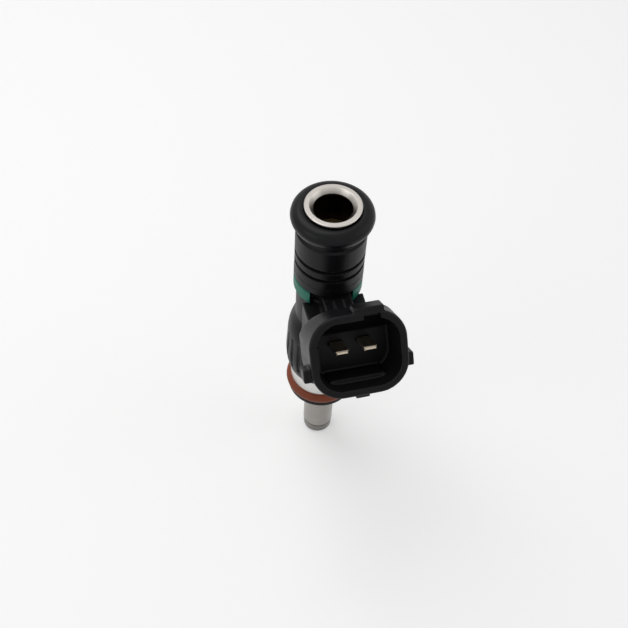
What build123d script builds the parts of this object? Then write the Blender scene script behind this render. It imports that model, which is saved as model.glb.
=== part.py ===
from build123d import *
import os
from math import cos, radians, sin, sqrt

# Port fuel injector with an upturned two-pin connector.
# Frame: +Z runs up the valve axis from the spray end to the fuel inlet, the origin is
# the centre of the spray end, and the connector faces -Y. Millimetres throughout.

# ---- driving dimensions -------------------------------------------------------------
GAP = 0.03                 # clearance between seated pieces

TOTAL_HEIGHT = 70.55       # spray end to inlet rim
SEAL_PITCH = 48.65         # centre to centre of the two O-rings
UPPER_SEAL_Z = 68.24
UPPER_SEAL_SECTION_R = 1.765
UPPER_SEAL_R = 5.525       # centreline radius
LOWER_SEAL_Z = UPPER_SEAL_Z - SEAL_PITCH
LOWER_SEAL_SECTION_R = 1.31
LOWER_SEAL_R = 5.89

TUBE_R = 3.74              # fuel tube, outside
TUBE_BORE_R = 3.4
TUBE_SEAT_R = TUBE_R + 0.04
RIM_R = 4.975
RIM_THICK = 0.5
RIM_MOUTH_R = 4.12
RIM_MOUTH_DEPTH = 0.8
TUBE_JOIN_Z = 39.9         # valve sleeve meets inlet tube

SUPPORT_R = 6.0            # backing ring under the upper seal
COLLAR_R = 6.3
COLLAR_TOP = 65.24
COLLAR_BOTTOM = 53.3
GROOVE_ZS = (60.04, 57.74)
GROOVE_WIDTH = 0.62
GROOVE_DEPTH = 0.6

RING_R = 6.35              # coding ring
RING_BORE_R = 5.2
RING_BOTTOM, RING_TOP = 50.3, 53.2
RING_MOUTH = (-4.5, 3.2)   # the opening that the stem passes, from left to right

NECK_R = 5.78
CORE_R = RING_BORE_R - 0.05
NECK_BOTTOM = 41.84
SKIRT_BOTTOM = 25.4
BARREL = [(6.82, SKIRT_BOTTOM), (7.20, 27.4), (7.40, 30.2), (7.25, 34.0), (7.10, 37.1), (6.31, 40.3)]

POT_R = 6.35               # magnet housing, lower part
POT_UPPER_R = 5.95
POT_STEP_Z = 31.0
POT_WALL = 0.55            # at the upper part
POT_BOTTOM, POT_FLOOR, POT_TOP = 20.93, 23.6, 38.48
JOURNAL_R = 4.55           # seat of the lower seal
JOURNAL_BOTTOM = 16.6
WASHER_TOP = 39.6

TIP_R = 3.165
TIP_BORE_R = 2.65
SEAT_TOP = 2.3             # joint line round the tip
SEAT_R = 3.04
PLATE_R, PLATE_THICK = 2.4, 0.25
BALL_R = 1.5
BALL_GUIDE_R = BALL_R + 0.06
CONE_APEX = 0.6            # height of the 45 degree seat cone's apex
BALL_Z = CONE_APEX + BALL_R * sqrt(2) + 0.02
NEEDLE_R, NEEDLE_BORE_R = 1.2, 0.8
ARMATURE_R = TUBE_BORE_R - 0.08
ARMATURE_BOTTOM, ARMATURE_SHOULDER, ARMATURE_TOP = 27.0, 30.5, 34.0
LIFT = 0.1                 # valve travel
POLE_BOTTOM = ARMATURE_TOP + LIFT + 0.05
POLE_TOP = 46.0
SPRING_R, SPRING_WIRE_R = 1.4, 0.2
SPRING_PITCH = 1.15
SPRING_BORE_R = 1.7
ADJUSTER_BOTTOM, ADJUSTER_TOP = 39.0, 45.0

TILT = 35.0                # connector axis above horizontal
MOUTH_REACH, MOUTH_Z = 21.31, 56.43
SHROUD_W, SHROUD_H, SHROUD_CORNER = 16.9, 14.7, 5.4
SHROUD_WALL = 1.35
CAVITY_DEPTH = 7.6
SHROUD_DEPTH = 9.0
PIN_SPACING = 4.96
PIN_WIDTH, PIN_THICK = 2.25, 0.72
PIN_SETBACK = 2.4          # blade tips behind the mouth
LEG_WIDTH = 1.4
LEG_Y = -4.75              # where the terminal legs run down to the coil

BOBBIN_BOTTOM, BOBBIN_TOP = 24.0, 37.6
BOBBIN_BORE_R, BOBBIN_HUB_R, BOBBIN_FLANGE_R = 3.8, 4.2, 5.35
FLANGE_THICK = 0.8


def turned(outline, arc=360.0):
    """Solid of revolution about Z from a closed (radius, height) outline."""
    face = Plane.XZ * make_face(Polyline(*outline, close=True))
    return revolve(face, Axis.Z, arc)


def ring(outer_r, inner_r, bottom, top):
    return turned([(inner_r, bottom), (outer_r, bottom), (outer_r, top), (inner_r, top)])


def block(x_range, y_range, z_range):
    """Axis-aligned box from its low and high limits."""
    (x0, x1), (y0, y1), (z0, z1) = x_range, y_range, z_range
    return Pos((x0 + x1) / 2, (y0 + y1) / 2, (z0 + z1) / 2) * Box(x1 - x0, y1 - y0, z1 - z0)


def strip(path, x, width, thick):
    """Flat metal strip at one x, bent along a path of (y, z) points."""
    solid = None
    for (y0, z0), (y1, z1) in zip(path, path[1:]):
        run = sqrt((y1 - y0) ** 2 + (z1 - z0) ** 2)
        along = Vector(0, (y1 - y0) / run, (z1 - z0) / run)
        plane = Plane(origin=(x, y0, z0), x_dir=(1, 0, 0), z_dir=along)
        piece = extrude(plane * Rectangle(width, thick), run)
        solid = piece if solid is None else solid + piece
    for y, z in path[1:-1]:
        solid = solid + Pos(x, y, z) * Rot(0, 90, 0) * Cylinder(thick / 2, width)
    return solid


# ---- connector frame: z out of the mouth, x across, y up the mouth --------------------
c, s = cos(radians(TILT)), sin(radians(TILT))
mouth = Plane(origin=(0, -MOUTH_REACH, MOUTH_Z), x_dir=(1, 0, 0), z_dir=(0, -c, s))


def in_mouth(across, up, out):
    """Row-frame (y, z) of a point of the connector frame; across is x unchanged."""
    return (-MOUTH_REACH - out * c + up * s, MOUTH_Z + out * s + up * c)


def mouth_block(across_range, up_range, out_range):
    (x0, x1), (u0, u1), (a0, a1) = across_range, up_range, out_range
    face = Pos((x0 + x1) / 2, (u0 + u1) / 2) * Rectangle(x1 - x0, u1 - u0)
    return extrude(mouth.offset(a0) * face, a1 - a0)


def behind_slope(inward):
    """The space behind the shroud's sloping upper back, moved forward by a wall's thickness."""
    out = -4.2 + inward
    corners = [in_mouth(0, 9.5, out), in_mouth(0, SHROUD_H / 2, out), in_mouth(0, 1.5, out - 5.3),
               in_mouth(0, 1.5, -16), in_mouth(0, 9.5, -16)]
    return extrude(Plane.YZ * make_face(Polyline(*corners, close=True)), 12, both=True)


# ---- fuel tube, seals and collar -------------------------------------------------------
inlet_tube = turned([
    (TUBE_BORE_R, TUBE_JOIN_Z + GAP), (TUBE_R, TUBE_JOIN_Z + GAP),
    (TUBE_R, TOTAL_HEIGHT - 1.35), (TUBE_R + 0.2, TOTAL_HEIGHT - 0.8),
    (TUBE_R + 0.6, TOTAL_HEIGHT - RIM_THICK - 0.02),
    (RIM_R - 0.15, TOTAL_HEIGHT - RIM_THICK),
    (RIM_R, TOTAL_HEIGHT - RIM_THICK + 0.15), (RIM_R, TOTAL_HEIGHT - 0.12),
    (RIM_R - 0.12, TOTAL_HEIGHT), (RIM_MOUTH_R, TOTAL_HEIGHT),
    (TUBE_BORE_R, TOTAL_HEIGHT - RIM_MOUTH_DEPTH)])

upper_o_ring = Pos(0, 0, UPPER_SEAL_Z) * Torus(UPPER_SEAL_R, UPPER_SEAL_SECTION_R)
lower_o_ring = Pos(0, 0, LOWER_SEAL_Z) * Torus(LOWER_SEAL_R, LOWER_SEAL_SECTION_R)
support_top = UPPER_SEAL_Z - UPPER_SEAL_SECTION_R - GAP
support_ring = turned([
    (TUBE_SEAT_R, COLLAR_TOP + GAP), (SUPPORT_R, COLLAR_TOP + GAP),
    (SUPPORT_R, support_top - 0.3), (SUPPORT_R - 0.3, support_top), (TUBE_SEAT_R, support_top)])

rail_collar = turned([
    (TUBE_SEAT_R, COLLAR_BOTTOM), (COLLAR_R - 0.25, COLLAR_BOTTOM), (COLLAR_R + 0.04, COLLAR_BOTTOM + 0.3),
    (COLLAR_R + 0.04, COLLAR_BOTTOM + 1.9), (COLLAR_R, COLLAR_BOTTOM + 1.95),
    (COLLAR_R, COLLAR_TOP - 0.35), (COLLAR_R - 0.35, COLLAR_TOP), (TUBE_SEAT_R, COLLAR_TOP)])
for groove_z in GROOVE_ZS:
    half = GROOVE_WIDTH / 2
    rail_collar = rail_collar - turned([
        (COLLAR_R - GROOVE_DEPTH, groove_z - half), (COLLAR_R + 0.2, groove_z - half - 0.2),
        (COLLAR_R + 0.2, groove_z + half + 0.2), (COLLAR_R - GROOVE_DEPTH, groove_z + half)])

coding_ring = ring(RING_R, RING_BORE_R, RING_BOTTOM, RING_TOP)
coding_ring = chamfer(coding_ring.edges().filter_by(GeomType.CIRCLE).group_by(SortBy.RADIUS)[-1], 0.18)
coding_ring = coding_ring - block(RING_MOUTH, (-8, 0), (RING_BOTTOM - 1, RING_TOP + 1))

# ---- overmoulded body with connector ----------------------------------------------------
barrel = Spline(*BARREL)
rest_of_outline = Polyline(
    BARREL[-1], (NECK_R, NECK_BOTTOM), (NECK_R, RING_BOTTOM - 0.05), (CORE_R, RING_BOTTOM - 0.05),
    (CORE_R, COLLAR_BOTTOM - 0.04), (TUBE_SEAT_R, COLLAR_BOTTOM - 0.04), (TUBE_SEAT_R, WASHER_TOP + 0.05),
    (POT_UPPER_R + GAP, WASHER_TOP + 0.05), (POT_UPPER_R + GAP, POT_STEP_Z + GAP),
    (POT_R + GAP, POT_STEP_Z + GAP), (POT_R + GAP, SKIRT_BOTTOM), BARREL[0])
overmould = revolve(Plane.XZ * make_face(barrel + rest_of_outline), Axis.Z)

# Slots down both flanks of the barrel, between raised lands.
for angle in (-34, -18, -2, 182, 198, 214):
    overmould = overmould - Rot(0, 0, angle) * block((6.95, 8), (-0.35, 0.35), (27.6, 36.8))

shroud_face = RectangleRounded(SHROUD_W, SHROUD_H, SHROUD_CORNER)
shroud = extrude(mouth.offset(-SHROUD_DEPTH) * shroud_face, SHROUD_DEPTH)
shroud = chamfer(shroud.faces().sort_by(Axis((0, 0, 0), (0, -c, s)))[-1].edges(), 0.3)
shroud = shroud - behind_slope(0)
back = extrude(mouth.offset(-SHROUD_DEPTH - 2.4) * Pos(0, -2.1) * RectangleRounded(11.6, 7.2, 2.6), 2.4)
lock_ramp = mouth_block((-0.3, 4.9), (SHROUD_H / 2 - 0.6, SHROUD_H / 2 + 0.75), (-3.2, -0.25))
side_tabs = mouth_block((-SHROUD_W / 2 - 1.2, SHROUD_W / 2 + 1.2), (-4.0, -1.6), (-4.2, -1.5))
foot_tab = mouth_block((-1.2, 1.2), (-SHROUD_H / 2 - 0.6, -SHROUD_H / 2 + 0.6), (-5.0, -0.7))

# Stem from the neck out to the shroud: a side outline cut to a tapering plan.
stem_side = extrude(Plane.YZ * make_face(Polyline(
    (-3.9, 40.6), (-6.2, 40.6), (-11.5, 43.6), (-17.2, 46.6), (-14.0, 52.4), (-12.6, 53.0),
    (-6.75, COLLAR_BOTTOM - 0.06), (-3.9, COLLAR_BOTTOM - 0.06), close=True)), 7, both=True)
stem_plan = extrude(Plane.XY.offset(40) * make_face(Polyline(
    (-5.7, -3.9), (5.7, -3.9), (5.6, -7.0), (4.6, -18), (-4.6, -18), (-5.6, -7.0), close=True)), 10.2)
stem_web = block((-2.6, 2.6), (-18, -3.9), (50.1, 58))
stem_rib = block((-0.85, 0.85), (-11.5, -6.75), (50, 53.65))
stem = stem_side & (stem_plan + stem_web)

overmould = overmould + stem + back + shroud + lock_ramp + side_tabs + foot_tab

cavity = extrude(mouth.offset(-CAVITY_DEPTH) * RectangleRounded(
    SHROUD_W - 2 * SHROUD_WALL, SHROUD_H - 2 * SHROUD_WALL, SHROUD_CORNER - SHROUD_WALL), CAVITY_DEPTH + 3)
cavity = cavity - behind_slope(SHROUD_WALL + 0.2)
lower_ledge = mouth_block((-4.9, 4.9), (-SHROUD_H / 2 + 0.8, -SHROUD_H / 2 + 2.2),
                          (-CAVITY_DEPTH - 0.2, -3.4))
side_key = mouth_block((-SHROUD_W / 2 + 0.8, -SHROUD_W / 2 + 2.1), (-2.6, 1.6), (-CAVITY_DEPTH - 0.2, -2.4))
rim_notch = mouth_block((1.2, 4.1), (SHROUD_H / 2 - 2.2, SHROUD_H / 2 - 0.5), (-1.8, 1))
overmould = (overmould - cavity - rim_notch) + lower_ledge + side_key
overmould = overmould - ring(TUBE_SEAT_R, 0.5, 39, 54)

# Terminal path: blade down the connector axis, then a bent leg to the coil bobbin.
tip = in_mouth(0, 0, -PIN_SETBACK)
root = in_mouth(0, 0, -CAVITY_DEPTH - 1.6)
leg = [in_mouth(0, 0, -CAVITY_DEPTH - 0.6), in_mouth(0, 0, -14.4), (LEG_Y, 43.0), (LEG_Y, POT_TOP + 0.15)]
terminals = {}
for name, side in (("terminal_left", -1), ("terminal_right", 1)):
    x = side * PIN_SPACING / 2
    blade = strip([root, tip], x, PIN_WIDTH, PIN_THICK)
    blade = chamfer(blade.faces().sort_by(Axis((0, 0, 0), (0, -c, s)))[-1].edges(), 0.22)
    terminals[name] = blade + strip(leg, x, LEG_WIDTH, PIN_THICK)
    overmould = overmould - strip([root, tip], x, PIN_WIDTH + 2 * GAP, PIN_THICK + 2 * GAP)
    overmould = overmould - strip([root, in_mouth(0, 0, -9.4)], x, PIN_WIDTH + 2 * GAP, PIN_THICK + 2 * GAP)
    leg_end = leg[:3] + [(LEG_Y, BOBBIN_TOP)]
    overmould = overmould - strip(leg_end, x, LEG_WIDTH + 2 * GAP, PIN_THICK + 2 * GAP)
overmould = overmould + (stem_rib - ring(CORE_R + 0.01, 0.5, 40, 60))

# ---- magnet circuit ------------------------------------------------------------------------
magnet_housing = turned([
    (TUBE_SEAT_R, JOURNAL_BOTTOM), (JOURNAL_R - 0.2, JOURNAL_BOTTOM), (JOURNAL_R, JOURNAL_BOTTOM + 0.2),
    (JOURNAL_R, POT_BOTTOM), (POT_R - 0.2, POT_BOTTOM), (POT_R, POT_BOTTOM + 0.2), (POT_R, POT_STEP_Z),
    (POT_UPPER_R, POT_STEP_Z), (POT_UPPER_R, POT_TOP), (POT_UPPER_R - POT_WALL, POT_TOP),
    (POT_UPPER_R - POT_WALL, POT_FLOOR), (TUBE_SEAT_R, POT_FLOOR)])
flux_washer = ring(POT_UPPER_R - 0.02, TUBE_SEAT_R, POT_TOP + GAP, WASHER_TOP)
flux_washer = flux_washer - block((-4, 4), (-8, -3.9), (38, 40))

bobbin_mid = (BOBBIN_BOTTOM + FLANGE_THICK, BOBBIN_TOP - FLANGE_THICK)
coil_bobbin = turned([
    (BOBBIN_BORE_R, BOBBIN_BOTTOM), (BOBBIN_FLANGE_R, BOBBIN_BOTTOM), (BOBBIN_FLANGE_R, bobbin_mid[0]),
    (BOBBIN_HUB_R, bobbin_mid[0]), (BOBBIN_HUB_R, bobbin_mid[1]), (BOBBIN_FLANGE_R, bobbin_mid[1]),
    (BOBBIN_FLANGE_R, BOBBIN_TOP), (BOBBIN_BORE_R, BOBBIN_TOP)])
coil_winding = ring(BOBBIN_FLANGE_R - 0.2, BOBBIN_HUB_R + 0.02, bobbin_mid[0] + 0.02, bobbin_mid[1] - 0.02)

inner_pole = turned([
    (SPRING_BORE_R, POLE_BOTTOM), (TUBE_BORE_R - 0.02, POLE_BOTTOM),
    (TUBE_BORE_R - 0.02, POLE_TOP - 0.4), (TUBE_BORE_R - 0.4, POLE_TOP), (SPRING_BORE_R, POLE_TOP)])
adjusting_sleeve = ring(SPRING_BORE_R - GAP, 1.0, ADJUSTER_BOTTOM, ADJUSTER_TOP)

# ---- moving valve needle ----------------------------------------------------------------------
armature = turned([
    (NEEDLE_R + 0.02, ARMATURE_BOTTOM), (ARMATURE_R - 0.3, ARMATURE_BOTTOM),
    (ARMATURE_R, ARMATURE_BOTTOM + 0.3),
    (ARMATURE_R, ARMATURE_TOP - 0.15), (ARMATURE_R - 0.15, ARMATURE_TOP), (SPRING_BORE_R, ARMATURE_TOP),
    (SPRING_BORE_R, ARMATURE_SHOULDER), (NEEDLE_R + 0.02, ARMATURE_SHOULDER)])
needle_foot = BALL_Z + sqrt(BALL_R ** 2 - NEEDLE_BORE_R ** 2) + 0.01
needle_tube = ring(NEEDLE_R, NEEDLE_BORE_R, needle_foot, ARMATURE_SHOULDER - 0.1)
for hole_z in (6.5, 12.0, 24.0):
    needle_tube = needle_tube - Pos(0, 0, hole_z) * Rot(0, 90, 0) * Cylinder(0.35, 4)
valve_ball = Pos(0, 0, BALL_Z) * Sphere(BALL_R)
coil_rise = ADJUSTER_BOTTOM - ARMATURE_SHOULDER - 2 * SPRING_WIRE_R - 0.06
helix = Helix(SPRING_PITCH, coil_rise, SPRING_R)
wire = Plane(origin=helix @ 0, z_dir=helix % 0) * Circle(SPRING_WIRE_R)
return_spring = Pos(0, 0, ARMATURE_SHOULDER + SPRING_WIRE_R + 0.03) * sweep(wire, path=helix, is_frenet=True)

# ---- valve end -----------------------------------------------------------------------------------
valve_sleeve = turned([
    (TIP_BORE_R, SEAT_TOP + 0.06), (TIP_R - 0.24, SEAT_TOP + 0.06), (TIP_R, SEAT_TOP + 0.4), (TIP_R, 16.4),
    (TUBE_R, 17.1), (TUBE_R, TUBE_JOIN_Z), (TUBE_BORE_R, TUBE_JOIN_Z), (TUBE_BORE_R, 18.2),
    (TIP_BORE_R, 17.4)])
orifice_r = 0.4
valve_seat = turned([
    (orifice_r, PLATE_THICK + 0.01), (SEAT_R - 0.25, PLATE_THICK + 0.01), (SEAT_R, PLATE_THICK + 0.26),
    (SEAT_R, SEAT_TOP - 0.1), (SEAT_R - 0.16, SEAT_TOP), (TIP_BORE_R - GAP, SEAT_TOP),
    (TIP_BORE_R - GAP, 5.5), (BALL_GUIDE_R, 5.5),
    (BALL_GUIDE_R, CONE_APEX + BALL_GUIDE_R), (orifice_r, CONE_APEX + orifice_r)])
for turn in range(4):
    channel = Pos(BALL_GUIDE_R + 0.25, 0, 4.3) * Cylinder(0.45, 2.6)
    valve_seat = valve_seat - Rot(0, 0, 90 * turn + 45) * channel
spray_plate = Pos(0, 0, PLATE_THICK / 2) * Cylinder(PLATE_R, PLATE_THICK)
for turn in range(4):
    spray_plate = spray_plate - Rot(0, 0, 90 * turn + 45) * Pos(0.55, 0, 0) * Cylinder(0.12, 1)

retainer_top = LOWER_SEAL_Z - LOWER_SEAL_SECTION_R - GAP
seal_retainer = turned([
    (JOURNAL_R + GAP, retainer_top - 1.3), (6.3, retainer_top - 1.3), (6.7, retainer_top - 0.9),
    (6.7, retainer_top - 0.2), (6.5, retainer_top), (JOURNAL_R + GAP, retainer_top)])

# ---- inlet filter -----------------------------------------------------------------------------------
filter_collar = ring(TUBE_BORE_R - 0.02, 2.4, 62.02, 63.6)
filter_basket = turned([
    (0, 52.5), (2.2, 52.5), (2.6, 52.9), (2.6, 61.4), (3.3, 61.4), (3.3, 61.98), (2.2, 61.98),
    (2.2, 53.5), (0, 53.5)])
for turn in range(2):
    filter_basket = filter_basket - Rot(0, 0, 90 * turn) * block((-1.3, 1.3), (-4, 4), (54.1, 60.7))
filter_mesh = ring(2.17, 2.07, 53.55, 61.9)

# ---- one file for each piece ----------------------------------------------------------------------------
pieces = {
    "inlet_tube": inlet_tube, "upper_o_ring": upper_o_ring, "support_ring": support_ring,
    "rail_collar": rail_collar, "coding_ring": coding_ring, "overmould": overmould,
    "magnet_housing": magnet_housing, "flux_washer": flux_washer, "coil_bobbin": coil_bobbin,
    "coil_winding": coil_winding, "inner_pole": inner_pole, "adjusting_sleeve": adjusting_sleeve,
    "armature": armature, "needle_tube": needle_tube, "valve_ball": valve_ball,
    "return_spring": return_spring, "valve_sleeve": valve_sleeve, "valve_seat": valve_seat,
    "spray_plate": spray_plate, "lower_o_ring": lower_o_ring, "seal_retainer": seal_retainer,
    "filter_collar": filter_collar, "filter_basket": filter_basket, "filter_mesh": filter_mesh,
}
pieces.update(terminals)

os.makedirs("parts", exist_ok=True)
for name, shape in pieces.items():
    export_step(shape, f"parts/{name}.step")
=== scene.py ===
from math import radians

import bpy
from bpy.props import FloatProperty, FloatVectorProperty, PointerProperty
from mathutils import Matrix, Vector


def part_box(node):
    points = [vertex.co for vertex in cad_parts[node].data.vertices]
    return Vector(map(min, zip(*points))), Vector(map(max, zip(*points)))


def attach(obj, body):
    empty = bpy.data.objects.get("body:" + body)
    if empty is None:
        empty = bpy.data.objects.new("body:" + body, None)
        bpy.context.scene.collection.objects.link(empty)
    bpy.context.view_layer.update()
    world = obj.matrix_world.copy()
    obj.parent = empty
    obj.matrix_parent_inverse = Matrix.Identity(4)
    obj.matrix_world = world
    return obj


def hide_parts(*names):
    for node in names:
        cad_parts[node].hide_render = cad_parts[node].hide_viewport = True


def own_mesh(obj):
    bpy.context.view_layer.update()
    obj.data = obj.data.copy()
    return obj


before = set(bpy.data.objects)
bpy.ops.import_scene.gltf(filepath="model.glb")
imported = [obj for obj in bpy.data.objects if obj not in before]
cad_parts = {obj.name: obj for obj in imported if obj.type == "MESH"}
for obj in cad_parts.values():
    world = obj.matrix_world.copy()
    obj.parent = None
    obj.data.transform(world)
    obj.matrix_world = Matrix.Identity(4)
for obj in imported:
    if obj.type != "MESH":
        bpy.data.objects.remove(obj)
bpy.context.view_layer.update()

bl_info = {
    "name": "Fuel injector",
    "version": (1, 0, 0),
    "blender": (4, 5, 0),
    "location": "3D View > Sidebar > Injector",
    "description": "Finishes a port fuel injector and sets it on a studio floor",
    "category": "Object",
}

MM = 0.001
HOUSING = "housing"            # the CAD body that everything fixed rides on
SENSOR_WIDTH = 36.0            # of the camera, in millimetres
FLOOR_SIZE = 6.0
FLOOR_DROP = 0.02 * MM         # the floor lies this far under the spray end, so the two don't flicker
LAMP_AIM = (0, 0, 0.04)
LAMPS = (                      # name, share of its power property, size, place
    ("key", 1.0, 0.30, (-0.10, 0.16, 0.42)),
    ("left", 1.0, 0.25, (-0.34, -0.12, 0.20)),
    ("right", 0.6, 0.25, (0.34, -0.10, 0.22)))
SKIN_VOXEL = 0.17 * MM         # mesh size of the softened moulding
SKIN_SHARE = 0.5               # share of its faces that is kept
MERGE_WITHIN = 0.002 * MM
JOINT_SHADE_BAND = (0.58 * MM, 0.72 * MM)     # painted shade at the foot of the valve sleeve, fading out between these heights above its end


# ---- sizes and colours a user would change ------------------------------------------------

def colour(label, text, value):
    return FloatVectorProperty(name=label, description=text, default=value, size=3, min=0, max=1,
                               subtype="COLOR")


class InjectorFinish(bpy.types.PropertyGroup):
    """Colours and roughnesses of the injector's materials."""
    nylon: colour("Nylon", "Glass-filled black moulding", (0.0050, 0.0050, 0.0060))
    nylon_rough: FloatProperty(name="Nylon roughness", description="Roughness of the black moulding",
                               default=0.38, subtype="FACTOR")
    seal: colour("Upper seal", "Black rubber", (0.0030, 0.0032, 0.0042))
    brown_seal: colour("Lower seal", "Red-brown rubber", (0.200, 0.045, 0.018))
    green: colour("Coding ring", "Dark green moulding", (0.010, 0.150, 0.100))
    steel: colour("Steel", "Drawn stainless tube", (0.57, 0.54, 0.50))
    plated: colour("Plated steel", "Magnet housing", (0.70, 0.69, 0.67))
    tin: colour("Tin", "Tinned terminal blades", (0.62, 0.55, 0.44))
    edge_radius: FloatProperty(name="Edge radius", description="Radius that moulded edges are rounded to",
                               default=0.18 * MM, unit="LENGTH")


class InjectorStage(bpy.types.PropertyGroup):
    """The studio: camera, floor and lamps."""
    azimuth: FloatProperty(name="Azimuth", description="Camera's turn about the valve axis",
                           default=radians(-16.2), subtype="ANGLE")
    tilt: FloatProperty(name="Tilt", description="Camera's tilt up from straight down",
                        default=radians(37.0415), subtype="ANGLE")
    roll: FloatProperty(name="Roll", description="Camera's roll about its own line of sight",
                        default=radians(3.4492), subtype="ANGLE")
    lens: FloatProperty(name="Lens", description="Focal length in millimetres", default=53.008)
    place: FloatVectorProperty(name="Place", description="Camera's place", size=3, subtype="TRANSLATION",
                               default=(-32.1345 * MM, -102.8723 * MM, 182.7728 * MM))
    floor: colour("Floor", "Pale studio floor", (0.80, 0.80, 0.80))
    floor_lift: FloatProperty(name="Floor lift", description="Glow that takes the floor to near white",
                              default=0.34)
    sky: FloatProperty(name="Sky", description="Strength of the even light from all round", default=0.42)
    backdrop: FloatProperty(name="Backdrop", description="Brightness of the backdrop where it is seen",
                            default=0.93)
    key: FloatProperty(name="Key", description="Power of the large overhead lamp", default=0.62, unit="POWER")
    fill: FloatProperty(name="Fill", description="Power of the side lamps", default=0.20, unit="POWER")


# ---- shader node groups ----------------------------------------------------------------------

def new_group(name, inputs, outputs):
    """An empty node group with float inputs given as {name: default} and outputs as {name: socket type}."""
    group = bpy.data.node_groups.new(name, "ShaderNodeTree")
    for label, value in inputs.items():
        group.interface.new_socket(label, in_out="INPUT", socket_type="NodeSocketFloat").default_value = value
    for label, kind in outputs.items():
        group.interface.new_socket(label, in_out="OUTPUT", socket_type=kind)
    return group, group.nodes.new("NodeGroupInput"), group.nodes.new("NodeGroupOutput")


def node(tree, kind, settings=(), **inputs):
    """A node with its settings, and its inputs set to values or linked from sockets.

    An input is named with _ for a space, or by its number, as in i0."""
    made = tree.nodes.new("ShaderNode" + kind)
    for key, value in dict(settings).items():
        setattr(made, key, value)
    for key, value in inputs.items():
        key = key.replace("_", " ")
        socket = made.inputs[int(key[1:])] if key[0] == "i" and key[1:].isdigit() else made.inputs[key]
        if isinstance(value, bpy.types.NodeSocket):
            tree.links.new(value, socket)
        else:
            socket.default_value = value
    return made


def maths(tree, operation, first, second=0.0, clamp=False):
    return node(tree, "Math", {"operation": operation, "use_clamp": clamp}, i0=first, i1=second).outputs[0]


def grain_group():
    """Moulded or cast grain: a height and a slow cloudiness."""
    tree, given, result = new_group("Surface grain", {"Grain": 4000.0, "Cloud": 300.0},
                                    {"Height": "NodeSocketFloat", "Cloud": "NodeSocketFloat"})
    where = node(tree, "TexCoord").outputs["Object"]
    fine = node(tree, "TexNoise", Vector=where, Scale=given.outputs["Grain"], Detail=3.0, Roughness=0.6)
    slow = node(tree, "TexNoise", Vector=where, Scale=given.outputs["Cloud"], Detail=4.0, Roughness=0.55)
    tree.links.new(fine.outputs["Fac"], result.inputs["Height"])
    tree.links.new(slow.outputs["Fac"], result.inputs["Cloud"])
    return tree


def turning_group():
    """Marks left round the valve axis by turning or drawing."""
    tree, given, result = new_group("Turning marks", {"Pitch": 9000.0, "Drift": 220.0},
                                    {"Height": "NodeSocketFloat", "Tone": "NodeSocketFloat"})
    where = node(tree, "SeparateXYZ", Vector=node(tree, "TexCoord").outputs["Object"])
    drift = maths(tree, "MULTIPLY", where.outputs["X"], given.outputs["Drift"])
    stretched = node(tree, "CombineXYZ", X=drift,
                     Y=maths(tree, "MULTIPLY", where.outputs["Y"], given.outputs["Drift"]),
                     Z=maths(tree, "MULTIPLY", where.outputs["Z"], given.outputs["Pitch"]))
    lines = node(tree, "TexNoise", Vector=stretched.outputs[0], Scale=1.0, Detail=2.0, Roughness=0.7)
    broad = node(tree, "TexNoise", Vector=stretched.outputs[0], Scale=0.12, Detail=3.0, Roughness=0.6)
    tree.links.new(lines.outputs["Fac"], result.inputs["Height"])
    tree.links.new(broad.outputs["Fac"], result.inputs["Tone"])
    return tree


def wear_group():
    """Worn edges: a mask that is 1 along sharp edges and broken up by noise."""
    tree, given, result = new_group("Edge wear", {"Radius": 0.2 * MM, "Breakup": 1500.0},
                                    {"Mask": "NodeSocketFloat"})
    rounded = node(tree, "Bevel", {"samples": 4}, Radius=given.outputs["Radius"]).outputs[0]
    plain = node(tree, "NewGeometry").outputs["Normal"]
    match = node(tree, "VectorMath", {"operation": "DOT_PRODUCT"}, i0=rounded, i1=plain).outputs["Value"]
    bend = maths(tree, "MULTIPLY", maths(tree, "SUBTRACT", 1.0, match), 7.0, clamp=True)
    where = node(tree, "TexCoord").outputs["Object"]
    broken = node(tree, "TexNoise", Vector=where, Scale=given.outputs["Breakup"], Detail=3.0)
    spread = node(tree, "MapRange", Value=broken.outputs["Fac"], From_Min=0.35, From_Max=0.6)
    tree.links.new(maths(tree, "MULTIPLY", bend, spread.outputs[0], clamp=True), result.inputs["Mask"])
    return tree


def dust_group():
    """Fine dust that settles on what faces up."""
    tree, given, result = new_group("Settled dust", {"Amount": 0.2}, {"Mask": "NodeSocketFloat"})
    up = node(tree, "SeparateXYZ", Vector=node(tree, "NewGeometry").outputs["Normal"]).outputs["Z"]
    facing = node(tree, "MapRange", Value=up, From_Min=0.2, From_Max=1.0)
    where = node(tree, "TexCoord").outputs["Object"]
    specks = node(tree, "TexNoise", Vector=where, Scale=2600.0, Detail=5.0, Roughness=0.75)
    thin = node(tree, "MapRange", Value=specks.outputs["Fac"], From_Min=0.48, From_Max=0.72)
    mask = maths(tree, "MULTIPLY", facing.outputs[0], thin.outputs[0])
    tree.links.new(maths(tree, "MULTIPLY", mask, given.outputs["Amount"], clamp=True), result.inputs["Mask"])
    return tree


GROUPS = {"Surface grain": grain_group, "Turning marks": turning_group, "Edge wear": wear_group,
          "Settled dust": dust_group}


def effect(tree, name, **inputs):
    """The named group placed in a material, built the first time it is asked for."""
    group = bpy.data.node_groups.get(name) or GROUPS[name]()
    made = tree.nodes.new("ShaderNodeGroup")
    made.node_tree = group
    for key, value in inputs.items():
        made.inputs[key].default_value = value
    return made.outputs


def mix_colour(tree, amount, first, second):
    made = node(tree, "Mix", {"data_type": "RGBA"})
    for socket, value in ((made.inputs[0], amount), (made.inputs[6], first), (made.inputs[7], second)):
        if isinstance(value, bpy.types.NodeSocket):
            tree.links.new(value, socket)
        else:
            socket.default_value = value if isinstance(value, float) else (*value[:3], 1.0)
    return made.outputs[2]


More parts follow.
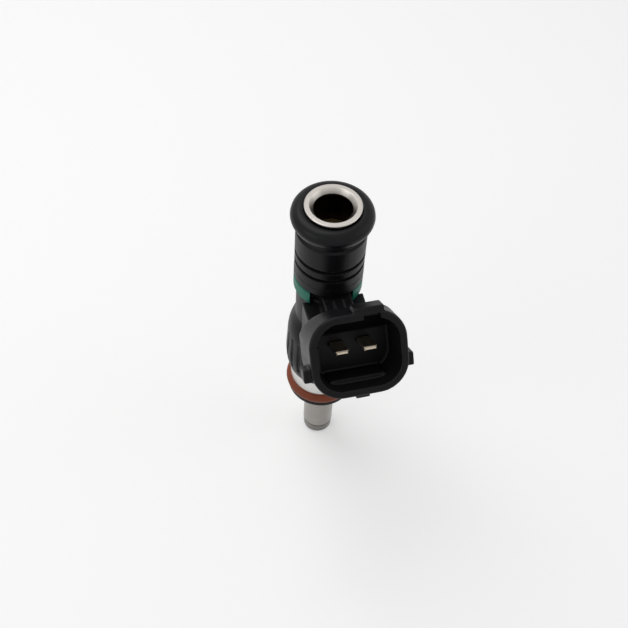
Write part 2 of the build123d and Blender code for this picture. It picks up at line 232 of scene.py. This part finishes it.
def seen_directly(tree):
    """1 for what the camera, a reflection or a clear piece sees, and 0 for light that only falls."""
    rays = node(tree, "LightPath").outputs
    mirrored = maths(tree, "MAXIMUM", rays["Is Glossy Ray"], rays["Is Transmission Ray"])
    return maths(tree, "MAXIMUM", rays["Is Camera Ray"], mirrored)


def shade(value, by):
    return tuple(min(1.0, part * by) for part in value[:3])


# ---- materials -----------------------------------------------------------------------------------

def material(name):
    made = bpy.data.materials.get(name)
    if made:
        return made, None, None
    made = bpy.data.materials.new(name)
    made.use_nodes = True
    return made, made.node_tree, made.node_tree.nodes["Principled BSDF"]


def moulded(name, base, rough, grain=5200.0, relief=0.01 * MM, wear=0.25, dust=0.12, radius=0.18 * MM,
            specular=0.5):
    """Moulded plastic or rubber: grain, cloudiness, paler rubbed edges and a little dust."""
    made, tree, shader = material(name)
    if tree is None:
        return made
    marks = effect(tree, "Surface grain", Grain=grain, Cloud=420.0)
    worn = maths(tree, "MULTIPLY", effect(tree, "Edge wear", Radius=radius, Breakup=1800.0)["Mask"], wear)
    dusty = effect(tree, "Settled dust", Amount=dust)["Mask"]
    body = mix_colour(tree, marks["Cloud"], shade(base, 0.75), shade(base, 1.25))
    rubbed = mix_colour(tree, worn, body, tuple(0.10 + part for part in base[:3]))
    tree.links.new(mix_colour(tree, dusty, rubbed, (0.34, 0.33, 0.31)), shader.inputs["Base Color"])
    spread = maths(tree, "MULTIPLY", marks["Cloud"], 0.22)
    settled = maths(tree, "MULTIPLY", dusty, 0.5)
    total = maths(tree, "ADD", maths(tree, "ADD", spread, rough - 0.11), settled, clamp=True)
    tree.links.new(total, shader.inputs["Roughness"])
    shader.inputs["Specular IOR Level"].default_value = specular
    soft = node(tree, "Bevel", {"samples": 4}, Radius=radius).outputs[0]
    bump = node(tree, "Bump", Strength=0.55, Distance=relief, Height=marks["Height"], Normal=soft)
    tree.links.new(bump.outputs[0], shader.inputs["Normal"])
    return made


def bore_shade_mask(tree, radius, top, deep):
    """A mask that is 1 inside a bore below its mouth, where painted shade darkens the bore with depth."""
    where = node(tree, "SeparateXYZ", Vector=node(tree, "TexCoord").outputs["Object"]).outputs
    flat = node(tree, "CombineXYZ", X=where["X"], Y=where["Y"])
    reach = node(tree, "VectorMath", {"operation": "LENGTH"}, i0=flat.outputs[0]).outputs["Value"]
    inside = node(tree, "MapRange", Value=reach, From_Min=radius, From_Max=radius * 0.93)
    below = node(tree, "MapRange", Value=where["Z"], From_Min=top, From_Max=deep)
    return maths(tree, "MULTIPLY", inside.outputs[0], below.outputs[0], clamp=True)


def joint_shade_mask(tree, low, high):
    """A mask that is 1 below a height and 0 above another, for painted shade at a part's end beside a joint.
    """
    height = node(tree, "SeparateXYZ", Vector=node(tree, "TexCoord").outputs["Object"]).outputs["Z"]
    return node(tree, "MapRange", Value=height, From_Min=high, From_Max=low).outputs[0]


def metal(name, base, rough, pitch=9000.0, relief=0.004 * MM, wear=0.3, radius=0.1 * MM, tone=0.14,
          stain=None, painted_bore_shade=None, painted_joint_shade=None):
    """Turned or drawn metal: marks round the axis, uneven tone, brighter edges and a faint stain."""
    made, tree, shader = material(name)
    if tree is None:
        return made
    shader.inputs["Metallic"].default_value = 1.0
    marks = effect(tree, "Turning marks", Pitch=pitch, Drift=260.0)
    cloud = effect(tree, "Surface grain", Grain=2500.0, Cloud=260.0)
    worn = maths(tree, "MULTIPLY", effect(tree, "Edge wear", Radius=radius, Breakup=1200.0)["Mask"], wear)
    body = mix_colour(tree, marks["Tone"], shade(base, 1 - tone), shade(base, 1 + tone))
    faint = maths(tree, "MULTIPLY", cloud["Cloud"], 0.35)
    tarnished = mix_colour(tree, faint, body, stain or shade(base, 0.55))
    bright = mix_colour(tree, worn, tarnished, shade(base, 1.35))
    # Painted shade: the inside of a bore goes near black with depth below its mouth.
    if painted_bore_shade:
        bright = mix_colour(tree, bore_shade_mask(tree, *painted_bore_shade), bright, (0.012, 0.009, 0.007))
    # Painted shade: a dark band at the lower end, standing in for the shade in the groove at the joint.
    if painted_joint_shade:
        bright = mix_colour(tree, joint_shade_mask(tree, *painted_joint_shade), bright, (0.035, 0.030, 0.026))
    tree.links.new(bright, shader.inputs["Base Color"])
    uneven = maths(tree, "MULTIPLY", maths(tree, "ADD", marks["Height"], cloud["Cloud"]), 0.14)
    tree.links.new(maths(tree, "ADD", uneven, rough - 0.14, clamp=True), shader.inputs["Roughness"])
    soft = node(tree, "Bevel", {"samples": 4}, Radius=radius).outputs[0]
    bump = node(tree, "Bump", Strength=0.5, Distance=relief, Height=marks["Height"], Normal=soft)
    tree.links.new(bump.outputs[0], shader.inputs["Normal"])
    return made


def paint(names, made):
    """Gives each CAD node one material."""
    for name in names:
        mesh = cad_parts[name].data
        mesh.materials.clear()
        mesh.materials.append(made)


# ---- modelling helpers --------------------------------------------------------------------------------

def nothing_selected():
    if bpy.context.object and bpy.context.object.mode != "OBJECT":
        bpy.ops.object.mode_set(mode="OBJECT")
    bpy.ops.object.select_all(action="DESELECT")


def finish_piece(piece, name, made, body, node_replaced=None):
    """Names a finished piece, puts its place in its mesh and joins it to the frame."""
    nothing_selected()
    piece.select_set(True)
    bpy.context.view_layer.objects.active = piece
    bpy.ops.object.transform_apply(location=True, rotation=True, scale=True)
    piece.name = piece.data.name = name
    piece.data.materials.clear()
    piece.data.materials.append(made)
    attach(piece, body)
    if node_replaced:
        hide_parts(node_replaced)
    return piece


def merged_copy(node_name):
    """A free copy of a CAD node's mesh with its loose triangles joined, selected and active."""
    nothing_selected()
    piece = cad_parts[node_name].copy()
    piece.data = piece.data.copy()
    for key in [key for key in piece.keys() if key.startswith("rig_")]:
        del piece[key]
    piece.parent = None
    bpy.context.scene.collection.objects.link(piece)
    piece.select_set(True)
    bpy.context.view_layer.objects.active = piece
    bpy.ops.object.mode_set(mode="EDIT")
    bpy.ops.mesh.select_all(action="SELECT")
    bpy.ops.mesh.remove_doubles(threshold=MERGE_WITHIN)
    bpy.ops.object.mode_set(mode="OBJECT")
    return piece


def softened(name, node_name, made, body, voxel, share, passes=5):
    """A CAD moulding with its hard edges melted into small radii, as the mould leaves them."""
    piece = merged_copy(node_name)
    remesh = piece.modifiers.new("Even skin", "REMESH")
    remesh.mode, remesh.voxel_size, remesh.use_smooth_shade = "VOXEL", voxel, True
    smooth = piece.modifiers.new("Melted edges", "SMOOTH")
    smooth.factor, smooth.iterations = 0.5, passes
    lighter = piece.modifiers.new("Lighter mesh", "DECIMATE")
    lighter.ratio = share
    for modifier in list(piece.modifiers):
        bpy.ops.object.modifier_apply(modifier=modifier.name)
    return finish_piece(piece, name, made, body, node_name)


def seal_ring(name, node_name, made, flash=0.02 * MM):
    """An O-ring with the fine flash line its mould leaves round its outside."""
    low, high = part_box(node_name)
    section = (high.z - low.z) / 2
    centre = high.x - section
    nothing_selected()
    bpy.ops.mesh.primitive_torus_add(major_segments=160, minor_segments=48, major_radius=centre,
                                     minor_radius=section - flash, location=(0, 0, (low.z + high.z) / 2))
    piece = bpy.context.object
    reach = centre + section - flash
    rim = [vertex for vertex in piece.data.vertices if vertex.co.xy.length > reach - flash / 4]
    for vertex in rim:
        vertex.co.xy *= (reach + flash) / reach
    bpy.ops.object.shade_smooth()
    return finish_piece(piece, name, made, HOUSING, node_name)


# ---- operators ----------------------------------------------------------------------------------------

class INJECTOR_OT_fuel_tube(bpy.types.Operator):
    """Finish the flared inlet tube in drawn stainless steel"""
    bl_idname = "injector.fuel_tube"
    bl_label = "Fuel tube"
    bl_options = {"REGISTER", "UNDO"}

    def execute(self, context):
        look = context.scene.injector_finish
        low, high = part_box("inlet_tube")
        # Painted shade inside the tube's bore, from just below its mouth to 1.3 mm down.
        painted_bore_shade = (high.x * 0.86, high.z - 0.1 * MM, high.z - 1.3 * MM)
        paint(["inlet_tube"], metal("Inlet steel", look.steel, 0.30, pitch=5200.0, tone=0.1, painted_bore_shade=painted_bore_shade))
        return {"FINISHED"}


class INJECTOR_OT_seals(bpy.types.Operator):
    """Model the two O-rings"""
    bl_idname = "injector.seals"
    bl_label = "Seals"
    bl_options = {"REGISTER", "UNDO"}

    def execute(self, context):
        look = context.scene.injector_finish
        black = moulded("Black rubber", look.seal, 0.34, grain=2600.0, relief=0.003 * MM, wear=0.0,
                        dust=0.015, specular=0.17)
        brown = moulded("Brown rubber", look.brown_seal, 0.48, grain=2600.0, relief=0.006 * MM, wear=0.0,
                        dust=0.04, specular=0.25)
        seal_ring("upper_seal", "upper_o_ring", black)
        seal_ring("lower_seal", "lower_o_ring", brown)
        return {"FINISHED"}


class INJECTOR_OT_mouldings(bpy.types.Operator):
    """Finish the black mouldings: collar, body and connector, backing ring and seal retainer"""
    bl_idname = "injector.mouldings"
    bl_label = "Black mouldings"
    bl_options = {"REGISTER", "UNDO"}

    def execute(self, context):
        look = context.scene.injector_finish
        nylon = moulded("Black nylon", look.nylon, look.nylon_rough, radius=look.edge_radius, dust=0.025,
                        specular=0.13)
        paint(["rail_collar", "support_ring", "seal_retainer"], nylon)
        softened("moulded_body", "overmould", nylon, HOUSING, voxel=SKIN_VOXEL,
                 share=SKIN_SHARE)
        return {"FINISHED"}


class INJECTOR_OT_coding_ring(bpy.types.Operator):
    """Finish the green coding ring"""
    bl_idname = "injector.coding_ring"
    bl_label = "Coding ring"
    bl_options = {"REGISTER", "UNDO"}

    def execute(self, context):
        look = context.scene.injector_finish
        paint(["coding_ring"], moulded("Green nylon", look.green, 0.45, grain=3600.0, wear=0.1, dust=0.04,
                                        specular=0.25))
        return {"FINISHED"}


class INJECTOR_OT_terminals(bpy.types.Operator):
    """Finish the two terminal blades in tinned brass"""
    bl_idname = "injector.terminals"
    bl_label = "Terminals"
    bl_options = {"REGISTER", "UNDO"}

    def execute(self, context):
        look = context.scene.injector_finish
        tin = metal("Tinned brass", look.tin, 0.34, pitch=1500.0, stain=(0.30, 0.17, 0.08), radius=0.06 * MM)
        paint(["terminal_left", "terminal_right"], tin)
        return {"FINISHED"}


class INJECTOR_OT_magnet(bpy.types.Operator):
    """Finish the magnet housing, washer, pole, armature, bobbin and coil"""
    bl_idname = "injector.magnet"
    bl_label = "Magnet circuit"
    bl_options = {"REGISTER", "UNDO"}

    def execute(self, context):
        look = context.scene.injector_finish
        paint(["magnet_housing", "flux_washer"], metal("Plated steel", look.plated, 0.30, pitch=3800.0))
        paint(["inner_pole", "armature"], metal("Magnet iron", (0.42, 0.42, 0.43), 0.36, pitch=7000.0))
        paint(["coil_bobbin", "filter_basket"], moulded("Pale nylon", (0.60, 0.55, 0.44), 0.5, wear=0.0))
        paint(["coil_winding"], metal("Coil wire", (0.60, 0.20, 0.08), 0.32, pitch=5200.0, relief=0.06 * MM,
                                      tone=0.4))
        return {"FINISHED"}


class INJECTOR_OT_valve(bpy.types.Operator):
    """Finish the valve sleeve, seat, spray plate, needle, ball and spring"""
    bl_idname = "injector.valve"
    bl_label = "Valve"
    bl_options = {"REGISTER", "UNDO"}

    def execute(self, context):
        look = context.scene.injector_finish
        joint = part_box("valve_sleeve")[0].z
        # The tip steel gets painted shade in a band at its lower end, by the joint with the seat.
        paint(["valve_sleeve"], metal("Tip steel", shade(look.steel, 0.60), 0.30, pitch=6000.0, tone=0.1,
                                      painted_joint_shade=(joint + JOINT_SHADE_BAND[0], joint + JOINT_SHADE_BAND[1])))
        ground = metal("Ground steel", shade(look.steel, 0.38), 0.30, pitch=9000.0)
        paint(["valve_seat", "spray_plate", "needle_tube", "valve_ball", "adjusting_sleeve"], ground)
        wire = metal("Spring wire", (0.50, 0.50, 0.51), 0.30, pitch=4000.0)
        paint(["filter_mesh"], wire)
        spring = merged_copy("return_spring")
        bpy.ops.object.shade_smooth()
        finish_piece(spring, "valve_spring", wire, HOUSING, "return_spring")
        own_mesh(spring)
        paint(["filter_collar"], metal("Filter brass", (0.30, 0.22, 0.10), 0.42))
        return {"FINISHED"}


class INJECTOR_OT_stage(bpy.types.Operator):
    """Set the camera, the pale floor and the soft lamps"""
    bl_idname = "injector.stage"
    bl_label = "Studio"

    def execute(self, context):
        scene, stage = context.scene, context.scene.injector_stage
        scene.view_settings.view_transform = "Standard"
        world = bpy.data.worlds.new("Studio")
        scene.world = world
        world.use_nodes = True
        sky = world.node_tree.nodes["Background"]
        sky.inputs["Color"].default_value = (1, 1, 1, 1)
        seen = seen_directly(world.node_tree)
        strength = node(world.node_tree, "MapRange", Value=seen, To_Min=stage.sky, To_Max=stage.backdrop)
        world.node_tree.links.new(strength.outputs[0], sky.inputs["Strength"])

        nothing_selected()
        bpy.ops.mesh.primitive_plane_add(size=FLOOR_SIZE, location=(0, 0, -FLOOR_DROP))
        floor = context.object
        floor.name = "floor"
        made, tree, shader = material("Studio floor")
        shader.inputs["Base Color"].default_value = (*stage.floor, 1)
        shader.inputs["Roughness"].default_value = 0.9
        shader.inputs["Specular IOR Level"].default_value = 0.1
        shader.inputs["Emission Color"].default_value = (1, 1, 1, 1)
        lift = maths(tree, "MULTIPLY", seen_directly(tree), stage.floor_lift)
        tree.links.new(lift, shader.inputs["Emission Strength"])
        floor.data.materials.append(made)

        for name, share, size, place in LAMPS:
            data = bpy.data.lights.new(name, "AREA")
            data.energy = (stage.key if name == "key" else stage.fill) * share
            data.size = size
            lamp = bpy.data.objects.new(name, data)
            scene.collection.objects.link(lamp)
            lamp.location = place
            lamp.rotation_euler = (Vector(LAMP_AIM) - Vector(place)).to_track_quat("-Z", "Y").to_euler()

        camera = bpy.data.objects.new("camera", bpy.data.cameras.new("camera"))
        scene.collection.objects.link(camera)
        camera.data.sensor_width, camera.data.lens = SENSOR_WIDTH, stage.lens
        camera.data.clip_start = 0.001
        turn = Matrix.Rotation(stage.azimuth, 4, "Z") @ Matrix.Rotation(stage.tilt, 4, "X")
        turn = turn @ Matrix.Rotation(stage.roll, 4, "Z")
        camera.matrix_world = Matrix.Translation(Vector(stage.place)) @ turn
        scene.camera = camera
        return {"FINISHED"}


OPERATORS = (INJECTOR_OT_fuel_tube, INJECTOR_OT_seals, INJECTOR_OT_mouldings, INJECTOR_OT_coding_ring,
             INJECTOR_OT_terminals, INJECTOR_OT_magnet, INJECTOR_OT_valve, INJECTOR_OT_stage)


class INJECTOR_PT_panel(bpy.types.Panel):
    """Lists the injector's build steps"""
    bl_idname = "INJECTOR_PT_panel"
    bl_label = "Fuel injector"
    bl_space_type = "VIEW_3D"
    bl_region_type = "UI"
    bl_category = "Injector"

    def draw(self, context):
        for operator in OPERATORS:
            self.layout.operator(operator.bl_idname)


CLASSES = (InjectorFinish, InjectorStage, *OPERATORS, INJECTOR_PT_panel)


def register():
    for one in CLASSES:
        bpy.utils.register_class(one)
    bpy.types.Scene.injector_finish = PointerProperty(type=InjectorFinish)
    bpy.types.Scene.injector_stage = PointerProperty(type=InjectorStage)


def unregister():
    del bpy.types.Scene.injector_finish, bpy.types.Scene.injector_stage
    for one in reversed(CLASSES):
        bpy.utils.unregister_class(one)


def main():
    register()
    for operator in OPERATORS:
        group, name = operator.bl_idname.split(".")
        getattr(getattr(bpy.ops, group), name)()


if __name__ == "__main__":
    main()
